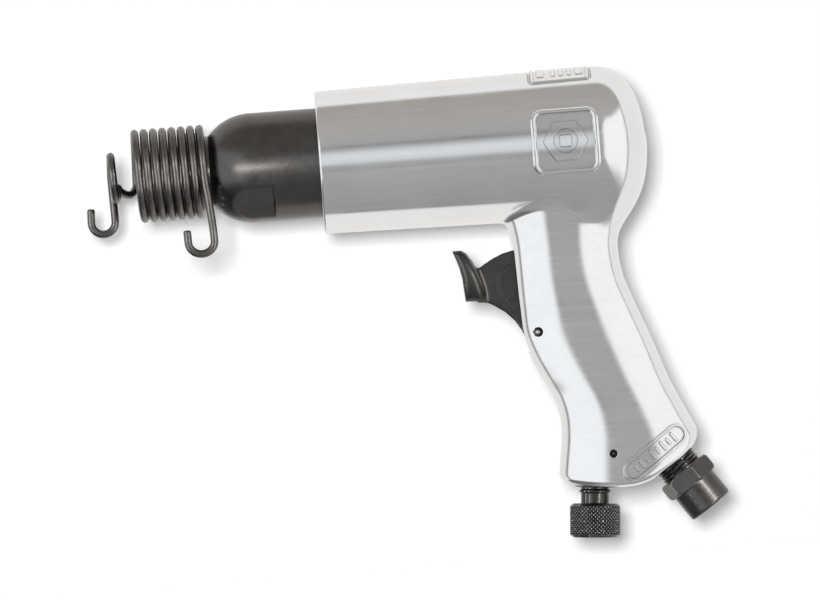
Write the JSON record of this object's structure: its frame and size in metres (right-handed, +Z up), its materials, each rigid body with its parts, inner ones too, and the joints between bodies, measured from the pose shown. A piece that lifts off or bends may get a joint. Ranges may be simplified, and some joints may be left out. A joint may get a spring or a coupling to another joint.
{
  "type": "pneumatic air hammer",
  "caption": "Pistol-grip pneumatic air hammer with a polished aluminium housing, black steel barrel, wire bee-hive retainer spring, trigger and knurled regulator.",
  "frame": {"origin": "on the barrel's axis at the mouth of the tool bore", "axes": "+X rearward along the barrel, +Z up away from the grip, so the tool points along -X and the grip hangs along -Z"},
  "size_m": [0.2157, 0.0542, 0.1644],
  "materials": {
    "cast_aluminium": "polished",
    "black_steel": "satin",
    "spring_steel": "satin",
    "ground_steel": "satin",
    "brass": "satin",
    "rubber": "matte"
  },
  "bodies": {
    "tool_body": {"housing": "cast_aluminium", "barrel": "black_steel", "valve_block": "ground_steel", "valve_cap": "ground_steel", "valve_washer": "spring_steel", "valve_pins": "ground_steel", "barrel_lock_ring": "ground_steel", "trigger_pin": "ground_steel", "throttle_bushing": "brass", "throttle_o_ring": "rubber", "stem_o_ring": "rubber", "regulator_pin": "ground_steel", "inlet_bushing": "black_steel", "inlet_screen": "brass"},
    "retainer": {"retainer_spring": "spring_steel"},
    "hammer_piston": {"piston": "ground_steel"},
    "flapper": {"valve_disc": "ground_steel"},
    "trigger_lever": {"trigger": "black_steel"},
    "throttle_valve": {"throttle_plunger": "ground_steel", "throttle_face": "rubber", "throttle_spring": "spring_steel"},
    "regulator_seal": {"regulator_o_ring": "rubber"},
    "regulator": {"regulator_screw": "black_steel"}
  },
  "joints": [
    {"name": "retainer_turn", "type": "hinge", "parent": "tool_body", "child": "retainer", "pos_m": [0, 0, 0], "axis": [-1, 0, 0], "range_deg": [0, 900]},
    {"name": "piston_stroke", "type": "slide", "parent": "tool_body", "child": "hammer_piston", "axis": [-1, 0, 0], "range_m": [0, 0.0413]},
    {"name": "valve_flap", "type": "slide", "parent": "tool_body", "child": "flapper", "axis": [1, 0, 0], "range_m": [0, 0.001]},
    {"name": "trigger_pull", "type": "hinge", "parent": "tool_body", "child": "trigger_lever", "pos_m": [0.1184, 0, -0.0644], "axis": [0, 1, 0], "range_deg": [0, 9.7], "stiffness_Nm_per_rad": 0.6, "springref_deg": -11.46},
    {"name": "throttle_lift", "type": "slide", "parent": "tool_body", "child": "throttle_valve", "axis": [1, 0, 0], "range_m": [0, 0.0026], "deforming": ["throttle_spring"]},
    {"name": "regulator_advance", "type": "slide", "parent": "tool_body", "child": "regulator_seal", "axis": [0.075, 0, 0.9972], "range_m": [0, 0.00396]},
    {"name": "regulator_turn", "type": "hinge", "parent": "regulator_seal", "child": "regulator", "pos_m": [0.1341, 0, -0.1204], "axis": [0.075, 0, 0.9972], "range_deg": [0, 900]}
  ],
  "couplings": [
    {"joint": "throttle_lift", "follows": "trigger_pull", "m_per_rad": 0.0144},
    {"joint": "regulator_turn", "follows": "regulator_advance", "rad_per_m": 3957.9}
  ]
}
